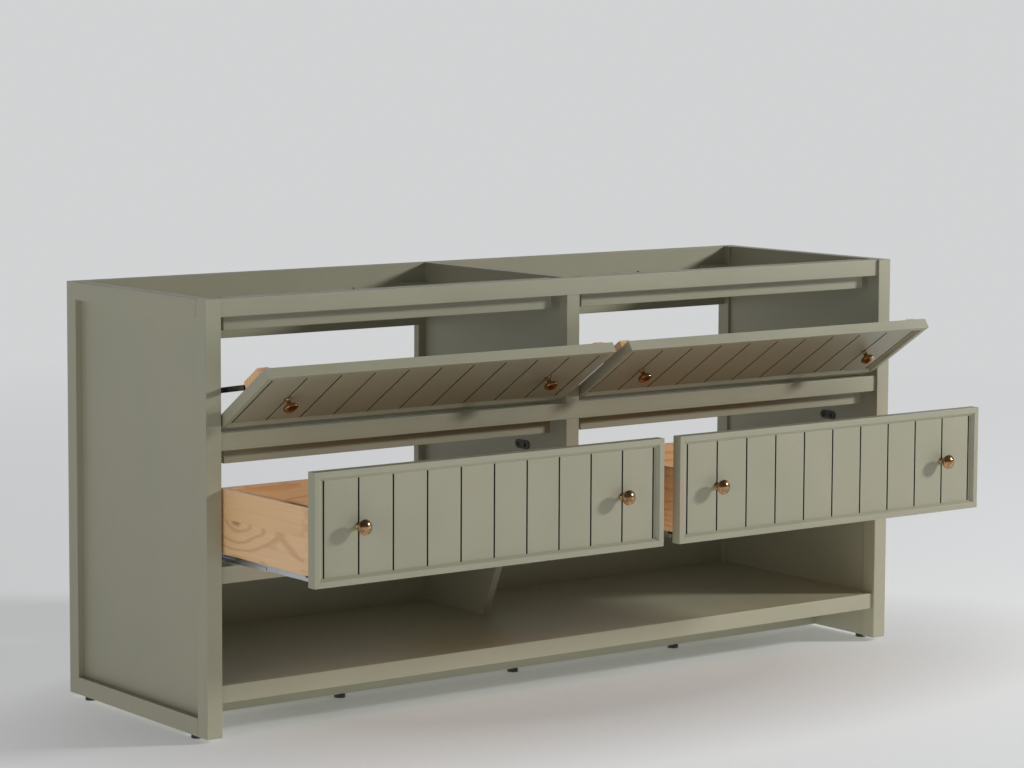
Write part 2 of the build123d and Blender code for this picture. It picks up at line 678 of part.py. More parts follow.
def stay_arm(bay):
    """Slotted flat arm, pinned to the front and sliding on the stud, at the open angle."""
    reach_open, slope_open = arm_reach(TILT_ANGLE)
    reach_shut, _ = arm_reach(0)
    slot_start = reach_shut - STAY_SLOT_START
    slot_end = reach_open + STAY_SLOT_END
    length = slot_end + STAY_TAIL
    sketch = Pos(length / 2, 0) * SlotCenterToCenter(length, 2 * STAY_HALF_WIDTH)
    sketch -= Pos((slot_start + slot_end) / 2, 0) * SlotCenterToCenter(slot_end - slot_start, 2 * STAY_SLOT_R)
    sketch -= Circle(STAY_PIN_R + RUN_PLAY)
    y, z = arm_pin(TILT_ANGLE)
    x = bay["x0"] + STAY_X
    plane = Plane(origin=(x, y, z), x_dir=(0, 1, 0), z_dir=(1, 0, 0))
    return extrude(plane * Rot(0, 0, slope_open) * sketch, STAY_THICK)


def stay_bracket(bay):
    """Sheet bracket on the back of the front, with the headed pin that carries the arm."""
    y, z = arm_pin(0)
    x0 = bay["x0"] + STAY_X + STAY_THICK + STAY_SIDE_PLAY
    half = BRACKET_HALF
    ear = block(x0, x0 + BRACKET_SHEET, FRONT_BACK, y + BRACKET_ROUND + 1, z - half, z + half)
    ear = fillet(ear.edges().filter_by(Axis.X).group_by(Axis.Y)[-1], BRACKET_ROUND)
    base = block(x0, x0 + BRACKET_BASE, FRONT_BACK, FRONT_BACK + BRACKET_SHEET, z - half, z + half)
    shank_x0 = bay["x0"] + STAY_X - STAY_SIDE_PLAY
    pin = rod_x(shank_x0, x0 + 1, y, z, STAY_PIN_R)
    head = rod_x(shank_x0 - STUD_HEAD, shank_x0, y, z, STUD_HEAD_R)
    return ear + base + pin + head


def stay_stud(bay, wall):
    """Headed stud on a round wall plate, which the slotted arm slides on."""
    y = STAY_STUD_DEPTH
    z = PIVOT_Z + STAY_STUD_HEIGHT
    inner = bay["x0"] + STAY_X - STAY_SIDE_PLAY
    outer = bay["x0"] + STAY_X + STAY_THICK + STAY_SIDE_PLAY
    stud = rod_x(wall, wall + STUD_PLATE, y, z, STUD_PLATE_R)
    stud += rod_x(wall, inner, y, z, STUD_NECK_R)
    stud += rod_x(inner, outer, y, z, STAY_PIN_R)
    stud += rod_x(outer, outer + STUD_HEAD, y, z, STUD_HEAD_R)
    return stud


def tilt_front(name, bay):
    """A bottom-pivoted front with knobs, pins, wood blocks and stay brackets."""
    front_x = bay["x0"] + FRONT_GAP
    z0 = TILT_Z + FRONT_GAP
    z1 = TOP_RAIL_Z - FRONT_GAP
    frame, panel = framed_front(front_x, z0, z1)

    knob_z = (z0 + z1) / 2
    knobs = []
    for x in knob_places(front_x):
        turned, screw = knob(x, knob_z, FRONT_BACK - PANEL_FACE)
        panel -= rod_y(x, PANEL_FACE - 1, FRONT_BACK + 1, knob_z, KNOB_SCREW_R + HOLE_PLAY)
        knobs += [turned, screw]

    pin_end = front_x + PIN_IN_FRONT
    pin = rod_x(bay["x0"] - PIN_IN_BUSH, pin_end, PIVOT_Y, PIVOT_Z, PIN_R)
    pin_hole = rod_x(front_x - 1, pin_end, PIVOT_Y, PIVOT_Z, PIN_R + 0.02)
    frame = frame - pin_hole - mirror_in_bay(bay, pin_hole)
    block_x0 = front_x + BLOCK_END
    block_x1 = block_x0 + BLOCK_WIDTH
    block_y1 = FRONT_BACK + BLOCK_THICK
    top = z1 - BLOCK_TOP
    wood = board(block_x0, block_x1, FRONT_BACK, block_y1, top - BLOCK_HEIGHT, top, ease=0.6)
    bracket = stay_bracket(bay)
    save(f"{name}_tilt_front_frame", tilt_open(frame))
    save(f"{name}_tilt_front_panel", tilt_open(panel))
    save(f"{name}_tilt_knobs", *[tilt_open(piece) for piece in knobs])
    save(f"{name}_tilt_pins", tilt_open(pin), tilt_open(mirror_in_bay(bay, pin)))
    save(f"{name}_tilt_blocks", tilt_open(wood), tilt_open(mirror_in_bay(bay, wood)))
    save(f"{name}_tilt_brackets", tilt_open(bracket), tilt_open(mirror_in_bay(bay, bracket)))
    arm = stay_arm(bay)
    save(f"{name}_tilt_stay_arms", arm, mirror_in_bay(bay, arm))


def tilt_hardware():
    """What stays on the cabinet for the tilt fronts: pivot bushes and stay studs."""
    bushes = []
    studs = []
    for bay in BAYS.values():
        x0 = bay["x0"]
        bush = rod_x(x0 - BUSH_LENGTH, x0 + BUSH_LIP, PIVOT_Y, PIVOT_Z, BUSH_R)
        bush += rod_x(x0, x0 + BUSH_LIP, PIVOT_Y, PIVOT_Z, BUSH_R + 1.5)
        bush -= rod_x(x0 - PIN_IN_BUSH - 0.5, x0 + 2, PIVOT_Y, PIVOT_Z, PIN_R + RUN_PLAY)
        bushes += [bush, mirror_in_bay(bay, bush)]
        other_wall = 2 * x0 + BAY - bay["wall1"]
        studs += [stay_stud(bay, bay["wall0"]), mirror_in_bay(bay, stay_stud(bay, other_wall))]
    save("pivot_bushes", *bushes)
    save("stay_studs", *studs)


def main():
    os.makedirs("parts", exist_ok=True)
    side_frame("left", 0, 1)
    side_frame("right", WIDTH, -1)
    front_rails()
    inner_carcass()
    levelling_feet()
    hole_plates()
    runners()
    tilt_hardware()
    for name, bay in BAYS.items():
        drawer(name, bay)
        tilt_front(name, bay)


main()
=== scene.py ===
import json
import math
import bmesh
import bpy
from mathutils import Matrix, Vector


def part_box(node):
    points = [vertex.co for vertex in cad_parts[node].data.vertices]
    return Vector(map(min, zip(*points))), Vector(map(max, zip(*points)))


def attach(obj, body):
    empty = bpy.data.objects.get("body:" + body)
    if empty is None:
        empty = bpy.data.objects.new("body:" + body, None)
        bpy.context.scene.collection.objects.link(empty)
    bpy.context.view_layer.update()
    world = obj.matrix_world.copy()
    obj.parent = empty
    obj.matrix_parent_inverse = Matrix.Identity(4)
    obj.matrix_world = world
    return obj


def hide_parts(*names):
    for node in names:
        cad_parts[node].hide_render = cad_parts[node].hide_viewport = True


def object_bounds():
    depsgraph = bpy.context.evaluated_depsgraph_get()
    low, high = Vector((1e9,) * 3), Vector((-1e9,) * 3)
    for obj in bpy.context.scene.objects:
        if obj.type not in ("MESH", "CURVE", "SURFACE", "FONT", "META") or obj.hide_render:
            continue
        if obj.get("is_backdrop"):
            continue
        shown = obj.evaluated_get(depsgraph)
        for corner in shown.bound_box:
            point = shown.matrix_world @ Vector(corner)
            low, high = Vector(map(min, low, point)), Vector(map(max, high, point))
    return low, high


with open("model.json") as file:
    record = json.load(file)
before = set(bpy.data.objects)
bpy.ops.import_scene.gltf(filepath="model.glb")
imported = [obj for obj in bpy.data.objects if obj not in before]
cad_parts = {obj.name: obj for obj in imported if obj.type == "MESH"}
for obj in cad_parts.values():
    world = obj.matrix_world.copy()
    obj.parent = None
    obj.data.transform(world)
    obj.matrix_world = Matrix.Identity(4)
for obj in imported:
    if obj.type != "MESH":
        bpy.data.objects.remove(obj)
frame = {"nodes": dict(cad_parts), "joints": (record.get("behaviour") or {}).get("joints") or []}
cad_low, cad_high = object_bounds()

# Posts, rails and boards of the carcass: tulipwood and birch plywood, sprayed in a matt sage
# lacquer after assembly. The posts and stiles are dowelled to the rails, the side panel sits
# in grooves, and the partition, shelf and backs are glued and pinned behind the face frame.


def linear(colour):
    """A hex sRGB colour as the linear colour that a shader takes."""
    channels = [int(colour[start:start + 2], 16) / 255 for start in (1, 3, 5)]
    bright = [c / 12.92 if c <= 0.04045 else ((c + 0.055) / 1.055) ** 2.4 for c in channels]
    return (*bright, 1.0)


def add_node(tree, kind, inputs=(), **settings):
    """Add a node of a kind, or take one that is there, and give its inputs values or links.

    Inputs go by name or in order, and a node given for one stands for its first output."""
    node = tree.nodes.new(kind) if isinstance(kind, str) else kind
    for name, value in settings.items():
        setattr(node, name, value)
    for name, value in inputs.items() if isinstance(inputs, dict) else enumerate(inputs):
        if isinstance(value, bpy.types.Node):
            value = value.outputs[0]
        if isinstance(value, bpy.types.NodeSocket):
            tree.links.new(value, node.inputs[name])
        else:
            node.inputs[name].default_value = value
    return node


def new_finish(name):
    """A material, its node tree, its shader and the piece's own coordinates."""
    material = bpy.data.materials.new(name)
    material.use_nodes = True
    tree = material.node_tree
    place = add_node(tree, "ShaderNodeTexCoord").outputs["Object"]
    return material, tree, tree.nodes["Principled BSDF"], place


def sage_lacquer(name, along, lean=0.0):
    """Matt pigmented lacquer on timber whose fibres run along one axis.

    The eye gets an even grey-green with broad faint clouds from the spray passes, a soft
    orange peel, and wood fibres that telegraph through as fine ridges. Fibres, flecks and
    peel are drawn coarser than real ones, so that they show."""
    clouds_mm, flecks_mm, peel_mm = 200, 4.35, 1.92
    fibre_width_mm, fibre_length_mm = 2.38, 91
    material, tree, shader, place = new_finish(name)
    if lean:
        place = add_node(tree, "ShaderNodeMapping", {"Vector": place, "Rotation": (-lean, 0, 0)})
    inputs = {"Vector": place, "Scale": 1000 / clouds_mm, "Detail": 3.0, "Roughness": 0.55}
    clouds = add_node(tree, "ShaderNodeTexNoise", inputs)
    inputs = {"Vector": place, "Scale": 1000 / flecks_mm, "Detail": 2.0}
    flecks = add_node(tree, "ShaderNodeTexNoise", inputs)
    fibre_scale = [1000 / fibre_width_mm] * 3
    fibre_scale[along] = 1000 / fibre_length_mm
    drawn_out = add_node(tree, "ShaderNodeMapping", {"Vector": place, "Scale": fibre_scale})
    inputs = {"Vector": drawn_out, "Scale": 1.0, "Detail": 4.0, "Roughness": 0.6}
    fibres = add_node(tree, "ShaderNodeTexNoise", inputs)
    inputs = {"Vector": place, "Scale": 1000 / peel_mm, "Detail": 1.0}
    peel = add_node(tree, "ShaderNodeTexNoise", inputs)
    cloud_share = add_node(tree, "ShaderNodeMapRange", (clouds, 0.35, 0.65, 0.0, 1.0))
    inputs = {0: cloud_share, 6: linear("#A6A38D"), 7: linear("#A1A08A")}
    colour = add_node(tree, "ShaderNodeMix", inputs, data_type="RGBA").outputs[2]
    fleck_share = add_node(tree, "ShaderNodeMapRange", (flecks, 0.58, 0.72, 0.0, 0.22))
    inputs = {0: fleck_share, 6: colour, 7: linear("#95947F")}
    colour = add_node(tree, "ShaderNodeMix", inputs, data_type="RGBA").outputs[2]
    fibre_share = add_node(tree, "ShaderNodeMapRange", (fibres, 0.3, 0.7, 0.07, 0.0))
    inputs = {0: fibre_share, 6: colour, 7: linear("#8E8D79")}
    colour = add_node(tree, "ShaderNodeMix", inputs, data_type="RGBA").outputs[2]
    rough = add_node(tree, "ShaderNodeMapRange", (clouds, 0.3, 0.7, 0.5, 0.42))
    ridges = add_node(tree, "ShaderNodeBump", {"Height": fibres, "Strength": 0.12, "Distance": 0.0003})
    inputs = {"Height": peel, "Strength": 0.2, "Distance": 0.0002, "Normal": ridges}
    skin = add_node(tree, "ShaderNodeBump", inputs)
    inputs = {"Base Color": colour, "Roughness": rough, "Normal": skin, "IOR": 1.5}
    add_node(tree, shader, inputs)
    return material


def dress(material, *names):
    """Give CAD pieces a finish."""
    for name in names:
        for holder in frame["nodes"][name].material_slots:
            holder.material = material


sage_level = sage_lacquer("sage_lacquer_level_grain", 0)
sage_deep = sage_lacquer("sage_lacquer_deep_grain", 1)
sage_upright = sage_lacquer("sage_lacquer_upright_grain", 2)
dress(sage_upright, "centre_partition", "centre_stiles", "back_centre_stile")
for side in ("left", "right"):
    dress(sage_upright, f"{side}_front_post", f"{side}_back_post", f"{side}_side_panel")
    dress(sage_deep, f"{side}_side_rails")
dress(sage_level, "front_top_rail", "front_mid_rail", "front_low_rail", "front_shelf_rail")
dress(sage_level, "back_top_board", "shelf", "shelf_back", "toe_board", "stop_strips", "corner_blocks")

# Levelling feet, hole plates and drawer clips: black moulded polypropylene. The feet screw up
# into the rails and the toe board, the plates are pushed over pairs of holes in the drawer
# bays, and the clips lock each drawer box to its runners.


def black_polypropylene(name):
    """Moulded polypropylene with a spark-eroded texture.

    The eye gets a deep grey-black with a fine even pebble and dull highlights, a little
    paler where it is scuffed."""
    pebble_mm, scuffs_mm = 0.714, 11.1
    material, tree, shader, place = new_finish(name)
    inputs = {"Vector": place, "Scale": 1000 / pebble_mm, "Detail": 2.0}
    pebble = add_node(tree, "ShaderNodeTexNoise", inputs)
    inputs = {"Vector": place, "Scale": 1000 / scuffs_mm, "Detail": 5.0, "Roughness": 0.7}
    scuffs = add_node(tree, "ShaderNodeTexNoise", inputs)
    worn = add_node(tree, "ShaderNodeMapRange", (scuffs, 0.55, 0.75, 0.0, 0.5))
    inputs = {0: worn, 6: linear("#1C1C1B"), 7: linear("#3A3936")}
    colour = add_node(tree, "ShaderNodeMix", inputs, data_type="RGBA").outputs[2]
    rough = add_node(tree, "ShaderNodeMapRange", (scuffs, 0.3, 0.7, 0.62, 0.45))
    bump = add_node(tree, "ShaderNodeBump", {"Height": pebble, "Strength": 0.35, "Distance": 0.0001})
    inputs = {"Base Color": colour, "Roughness": rough, "Normal": bump, "IOR": 1.49}
    add_node(tree, shader, inputs)
    return material


black_plastic = black_polypropylene("black_polypropylene_moulded")
dress(black_plastic, "levelling_feet", "hole_plates", "left_drawer_clips", "right_drawer_clips")

# Runner rails, sliders and drawer channels: cold-rolled steel strip, roll-formed and plated
# with bright zinc. The rails are screwed to the cabinet walls through their flanges.


def zinc_plate(name, along):
    """Bright zinc on rolled steel: cool pale grey, with roller lines and a cloudy sheen."""
    line_spacing_mm, line_length_mm, clouds_mm = 1.11, 167, 25
    material, tree, shader, place = new_finish(name)
    line_scale = [1000 / line_spacing_mm] * 3
    line_scale[along] = 1000 / line_length_mm
    drawn_out = add_node(tree, "ShaderNodeMapping", {"Vector": place, "Scale": line_scale})
    lines = add_node(tree, "ShaderNodeTexNoise", {"Vector": drawn_out, "Scale": 1.0, "Detail": 3.0})
    inputs = {"Vector": place, "Scale": 1000 / clouds_mm, "Detail": 4.0}
    clouds = add_node(tree, "ShaderNodeTexNoise", inputs)
    inputs = {0: clouds, 6: linear("#A9ABAC"), 7: linear("#C9CACB")}
    colour = add_node(tree, "ShaderNodeMix", inputs, data_type="RGBA").outputs[2]
    rough = add_node(tree, "ShaderNodeMapRange", (lines, 0.3, 0.7, 0.26, 0.42))
    bump = add_node(tree, "ShaderNodeBump", {"Height": lines, "Strength": 0.2, "Distance": 0.0001})
    inputs = {"Base Color": colour, "Roughness": rough, "Normal": bump, "Metallic": 1.0}
    add_node(tree, shader, inputs)
    return material


zinc = zinc_plate("zinc_plated_steel", 1)
dress(zinc, "runner_rails")
for side in ("left", "right"):
    dress(zinc, f"{side}_runner_sliders", f"{side}_drawer_channels")

# Stay arms, studs, brackets and pivot pins of the tilt fronts: steel with a black-nickel plate,
# stamped or turned. Each pin turns in a white nylon bush pressed into the post or stile.


def black_nickel(name):
    """Black-nickel plate: smoky dark mirror with faint rub marks that dull it."""
    rub_length_mm, rub_width_mm, clouds_mm = 16.7, 3.33, 40
    material, tree, shader, place = new_finish(name)
    rub_scale = (1000 / rub_length_mm, 1000 / rub_width_mm, 1000 / rub_width_mm)
    drawn_out = add_node(tree, "ShaderNodeMapping", {"Vector": place, "Scale": rub_scale})
    inputs = {"Vector": drawn_out, "Scale": 1.0, "Detail": 5.0, "Roughness": 0.65}
    rubs = add_node(tree, "ShaderNodeTexNoise", inputs)
    inputs = {"Vector": place, "Scale": 1000 / clouds_mm, "Detail": 2.0}
    clouds = add_node(tree, "ShaderNodeTexNoise", inputs)
    inputs = {0: clouds, 6: linear("#3E3A35"), 7: linear("#5B564E")}
    colour = add_node(tree, "ShaderNodeMix", inputs, data_type="RGBA").outputs[2]
    rough = add_node(tree, "ShaderNodeMapRange", (rubs, 0.35, 0.7, 0.2, 0.4))
    bump = add_node(tree, "ShaderNodeBump", {"Height": rubs, "Strength": 0.1, "Distance": 0.0001})
    inputs = {"Base Color": colour, "Roughness": rough, "Normal": bump, "Metallic": 1.0}
    add_node(tree, shader, inputs)
    return material


def white_nylon(name):
    """Moulded nylon: warm white, waxy, with light passing a little way in."""
    waxy_mm = 5.56
    material, tree, shader, place = new_finish(name)
    waxy = add_node(tree, "ShaderNodeTexNoise", {"Vector": place, "Scale": 1000 / waxy_mm, "Detail": 3.0})
    inputs = {0: waxy, 6: linear("#DEDBD0"), 7: linear("#EDEAE1")}
    colour = add_node(tree, "ShaderNodeMix", inputs, data_type="RGBA").outputs[2]
    bump = add_node(tree, "ShaderNodeBump", {"Height": waxy, "Strength": 0.1, "Distance": 0.0001})
    inputs = {"Base Color": colour, "Roughness": 0.38, "Normal": bump, "IOR": 1.53}
    inputs["Subsurface Weight"] = 0.08
    inputs["Subsurface Radius"] = (0.002, 0.0018, 0.0015)
    add_node(tree, shader, inputs)
    return material


dark_nickel = black_nickel("black_nickel_plated_steel")
dress(dark_nickel, "stay_studs")
dress(white_nylon("white_nylon_moulded"), "pivot_bushes")
for side in ("left", "right"):
    dress(dark_nickel, f"{side}_tilt_pins", f"{side}_tilt_brackets", f"{side}_tilt_stay_arms")

# Drawer boxes and the blocks behind the tilt fronts: knotty pine, planed, dovetailed at the
# corners and clear-lacquered. Bottoms and sides are edge-glued from boards about 65 mm wide.


def knotty_pine(name, thick, along, across, shift):
    """Flat-sawn pine under a satin lacquer, with its axes given by number.

    The eye gets warm orange-pink with growth rings cut through as long arches, dark knots
    that the rings flow round, and a tone for each glued board. Growth rings are drawn about
    three times as far apart as real ones, so that they show."""
    glued_board = 0.065
    ring_spacing = 0.0075
    knot_apart_mm, knot_aside_mm = 312.5, 125
    bend_mm = (333, 625, 167)
    fibre_width_mm, fibre_length_mm = 1.54, 111
    material, tree, shader, place = new_finish(name)
    parts = add_node(tree, "ShaderNodeSeparateXYZ", {"Vector": place}).outputs
    deep, length = parts[thick], parts[along]
    wide = add_node(tree, "ShaderNodeMath", (parts[across], shift), operation="ADD")
    board = add_node(tree, "ShaderNodeMath", (wide, glued_board), operation="DIVIDE")
    board = add_node(tree, "ShaderNodeMath", (board,), operation="FLOOR")
    tone = add_node(tree, "ShaderNodeTexWhiteNoise", {"W": board}, noise_dimensions="1D")
    sawn_from = add_node(tree, "ShaderNodeMath", (tone, 3.0), operation="MULTIPLY")
    length = add_node(tree, "ShaderNodeMath", (length, sawn_from), operation="ADD")
    local = add_node(tree, "ShaderNodeCombineXYZ", (deep, length, wide))
    flat = add_node(tree, "ShaderNodeCombineXYZ", (length, wide))
    knot_scale = (1000 / knot_apart_mm, 1000 / knot_aside_mm, 1.0)
    cell = add_node(tree, "ShaderNodeMapping", {"Vector": flat, "Scale": knot_scale})
    knots = add_node(tree, "ShaderNodeTexVoronoi", {"Vector": cell, "Scale": 1.0}, voronoi_dimensions="2D")
    from_knot = knots.outputs["Distance"]
    bend_scale = [1000 / size for size in bend_mm]
    drawn_out = add_node(tree, "ShaderNodeMapping", {"Vector": local, "Scale": bend_scale})
    bend = add_node(tree, "ShaderNodeTexNoise", {"Vector": drawn_out, "Scale": 1.0, "Detail": 3.0})
    bow = add_node(tree, "ShaderNodeMath", (bend, 0.05, 0.012), operation="MULTIPLY_ADD")
    rise = add_node(tree, "ShaderNodeMath", (deep, bow), operation="ADD")
    centre = add_node(tree, "ShaderNodeMath", (tone, 0.05, -0.025), operation="MULTIPLY_ADD")
    run = add_node(tree, "ShaderNodeMath", (wide, glued_board / 2), operation="PINGPONG")
    run = add_node(tree, "ShaderNodeMath", (run, centre), operation="ADD")
    rise = add_node(tree, "ShaderNodeMath", (rise, 2.0), operation="POWER")
    run = add_node(tree, "ShaderNodeMath", (run, 2.0), operation="POWER")
    reach = add_node(tree, "ShaderNodeMath", (rise, run), operation="ADD")
    reach = add_node(tree, "ShaderNodeMath", (reach,), operation="SQRT")
    swell = add_node(tree, "ShaderNodeMapRange", (from_knot, 0.0, 0.45, 0.016, 0.0))
    reach = add_node(tree, "ShaderNodeMath", (reach, swell), operation="ADD")
    ring = add_node(tree, "ShaderNodeMath", (reach, math.tau / ring_spacing), operation="MULTIPLY")
    ring = add_node(tree, "ShaderNodeMath", (ring,), operation="SINE")
    late = add_node(tree, "ShaderNodeMapRange", (ring, 0.2, 1.0, 0.0, 0.6))
    fibre_scale = (1000 / fibre_width_mm, 1000 / fibre_length_mm, 1000 / fibre_width_mm)
    drawn_out = add_node(tree, "ShaderNodeMapping", {"Vector": local, "Scale": fibre_scale})
    fibres = add_node(tree, "ShaderNodeTexNoise", {"Vector": drawn_out, "Scale": 1.0, "Detail": 3.0})
    inputs = {0: tone, 6: linear("#F2C38C"), 7: linear("#F6CE9E")}
    colour = add_node(tree, "ShaderNodeMix", inputs, data_type="RGBA").outputs[2]
    inputs = {0: late, 6: colour, 7: linear("#D99E6A")}
    colour = add_node(tree, "ShaderNodeMix", inputs, data_type="RGBA").outputs[2]
    fibre_share = add_node(tree, "ShaderNodeMapRange", (fibres, 0.35, 0.7, 0.0, 0.18))
    inputs = {0: fibre_share, 6: colour, 7: linear("#B98255")}
    colour = add_node(tree, "ShaderNodeMix", inputs, data_type="RGBA").outputs[2]
    heart = add_node(tree, "ShaderNodeMapRange", (from_knot, 0.03, 0.07, 0.6, 0.0))
    inputs = {0: heart, 6: colour, 7: linear("#8A5632")}
    colour = add_node(tree, "ShaderNodeMix", inputs, data_type="RGBA").outputs[2]
    rough = add_node(tree, "ShaderNodeMapRange", (late, 0.0, 1.0, 0.46, 0.34))
    height = add_node(tree, "ShaderNodeMath", (late, fibres), operation="ADD")
    bump = add_node(tree, "ShaderNodeBump", {"Height": height, "Strength": 0.25, "Distance": 0.0003})
    inputs = {"Base Color": colour, "Roughness": rough, "Normal": bump, "IOR": 1.5}
    add_node(tree, shader, inputs)
    return material


pine_sides = knotty_pine("lacquered_pine_box_sides", 0, 1, 2, 0.011)
pine_ends = knotty_pine("lacquered_pine_box_ends", 1, 0, 2, 0.019)
pine_floor = knotty_pine("lacquered_pine_box_bottom", 2, 0, 1, 0.004)
pine_blocks = knotty_pine("lacquered_pine_tilt_blocks", 1, 2, 0, 0.027)
for side in ("left", "right"):
    dress(pine_sides, f"{side}_drawer_sides")
    dress(pine_ends, f"{side}_drawer_box_front", f"{side}_drawer_box_back")
    dress(pine_floor, f"{side}_drawer_bottom")
    dress(pine_blocks, f"{side}_tilt_blocks")

# Frames of the four inset fronts: sage-lacquered tulipwood strips 22 mm thick, rebated behind
# for the panel, bevelled on the inner front edge, mitred at the corners and glued.
TINY = 0.00005
front_thick = 0.022
frame_border = 0.0175
panel_recess = 0.0063
panel_lap = 0.006
frame_slope = 0.0058
edge_ease = 0.0006
mitre_ease = 0.00022
pivot_behind = 0.007
pivot_above = 0.012
hinge = next(j for j in frame["joints"] if j["name"] == "left_tilt_hinge")
tilt = -math.radians(hinge["range_deg"][0])
sage_tilted_upright = sage_lacquer("sage_lacquer_tilted_upright_grain", 2, tilt)


def clear_selection():
    """Leave nothing selected, in object mode."""
    if bpy.context.object and bpy.context.object.mode == "EDIT":
        bpy.ops.object.mode_set(mode="OBJECT")
    bpy.ops.object.select_all(action="DESELECT")


def timber(name, low, high):
    """A squared block between two corners, with its place in its mesh."""
    clear_selection()
    size = [b - a for a, b in zip(low, high)]
    middle = [(a + b) / 2 for a, b in zip(low, high)]
    bpy.ops.mesh.primitive_cube_add(size=1, location=middle, scale=size)
    piece = bpy.context.object
    piece.name = name
    bpy.ops.object.transform_apply(location=True, rotation=True, scale=True)
    return piece


def pick(mode, test):
    """In edit mode, select only the edges or faces whose middle passes a test."""
    bpy.ops.mesh.select_mode(type=mode)
    bpy.ops.mesh.select_all(action="DESELECT")
    mesh = bpy.context.object.data
    shape = bmesh.from_edit_mesh(mesh)
    for item in shape.edges if mode == "EDGE" else shape.faces:
        middle = sum((corner.co for corner in item.verts), Vector()) / len(item.verts)
        if test(middle):
            item.select_set(True)
    bmesh.update_edit_mesh(mesh)


def placed(piece, name, matrix):
    """A copy with its own mesh, moved to its place inside that mesh."""
    copy = piece.copy()
    copy.data = piece.data.copy()
    copy.name = name
    bpy.context.collection.objects.link(copy)
    copy.data.transform(matrix)
    return copy


def joined(name, pieces, material=None):
    """Several pieces made one, with one finish or with the finishes they have."""
    clear_selection()
    for piece in pieces:
        piece.select_set(True)
    bpy.context.view_layer.objects.active = pieces[0]
    bpy.ops.object.join()
    whole = bpy.context.object
    whole.name = name
    whole.data.name = name
    if material:
        whole.data.materials.clear()
        whole.data.materials.append(material)
    return whole


def discard(piece):
    """Throw away a pattern piece once its copies are made."""
    bpy.data.objects.remove(piece)


def mitred_strip(name, length):
    """One strip of a frame, lying along X with its outer edge at Z 0 and its face at Y 0."""
    strip = timber(name, (0, 0, 0), (length, front_thick, frame_border - panel_lap))
    bpy.ops.object.mode_set(mode="EDIT")
    bpy.ops.mesh.select_all(action="SELECT")
    bpy.ops.mesh.bisect(plane_co=(0, panel_recess, 0), plane_no=(0, 1, 0))
    top = frame_border - panel_lap - TINY
    pick("FACE", lambda middle: middle.z > top and middle.y < panel_recess)
    bpy.ops.mesh.extrude_region_move(TRANSFORM_OT_translate={"value": (0, 0, panel_lap)})
    pick("EDGE", lambda middle: middle.y < TINY and middle.z > frame_border - TINY)
    bpy.ops.mesh.bevel(offset=frame_slope, segments=1, affect="EDGES")
    flat = frame_border - frame_slope
    pick("EDGE", lambda middle: middle.y < TINY and (middle.z < TINY or abs(middle.z - flat) < TINY))
    bpy.ops.mesh.bevel(offset=edge_ease, segments=2, affect="EDGES")
    for end, inward in ((0, 1), (length, -1)):
        bpy.ops.mesh.select_all(action="SELECT")
        normal = Vector((inward, 0, -1)).normalized()
        bpy.ops.mesh.bisect(plane_co=(end, 0, 0), plane_no=normal, use_fill=True, clear_inner=True)
    pick("EDGE", lambda m: m.y < 0.004 and (abs(m.x - m.z) < TINY or abs(length - m.x - m.z) < TINY))
    bpy.ops.mesh.bevel(offset=mitre_ease, segments=1, affect="EDGES")
    bpy.ops.mesh.select_all(action="SELECT")
    bpy.ops.mesh.normals_make_consistent(inside=False)
    bpy.ops.object.mode_set(mode="OBJECT")
    return strip


fronts = {}
for side in ("left", "right"):
    for kind in ("drawer", "tilt"):
        low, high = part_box(f"{side}_{kind}_front_frame")
        width = high.x - low.x
        if kind == "drawer":
            height = high.z - low.z
            place = Matrix.Translation(low)
        else:
            height = (high.z - low.z - front_thick * math.sin(tilt)) / math.cos(tilt)
            pivot = Matrix.Translation((low.x, hinge["pos_m"][1], hinge["pos_m"][2]))
            before = Matrix.Translation((0, -pivot_behind, -pivot_above))
            place = pivot @ Matrix.Rotation(tilt, 4, "X") @ before
        fronts[side, kind] = (width, height, place)

for (side, kind), (width, height, place) in fronts.items():
    long_strip = mitred_strip("long_strip", width)
    short_strip = mitred_strip("short_strip", height)
    corners = (
        (long_strip, 0, (0, 0, 0)),
        (short_strip, -90, (width, 0, 0)),
        (long_strip, 180, (width, 0, height)),
        (short_strip, 90, (0, 0, height)),
    )
    strips = []
    for pattern, turn, corner in corners:
        stand = Matrix.Translation(corner) @ Matrix.Rotation(math.radians(turn), 4, "Y")
        strips.append(placed(pattern, "strip", place @ stand))
    discard(long_strip)
    discard(short_strip)
    grain = sage_level if kind == "drawer" else sage_tilted_upright
    mitred_frame = joined(f"{side}_{kind}_mitred_frame", strips, grain)
    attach(mitred_frame, f"{side}_{kind}")
    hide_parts(f"{side}_{kind}_front_frame")

# Beadboard panels: narrow sage-lacquered boards on a backing sheet, glued into the rebate of
# each frame. The open groove between two boards is deep and narrow, and its walls and floor carry
# a near-black painted shade, so it reads nearly black.
groove_margin = 0.0067
board_count = 10
groove_open = 0.0036
board_ease = 0.0004
board_thick = 0.0082


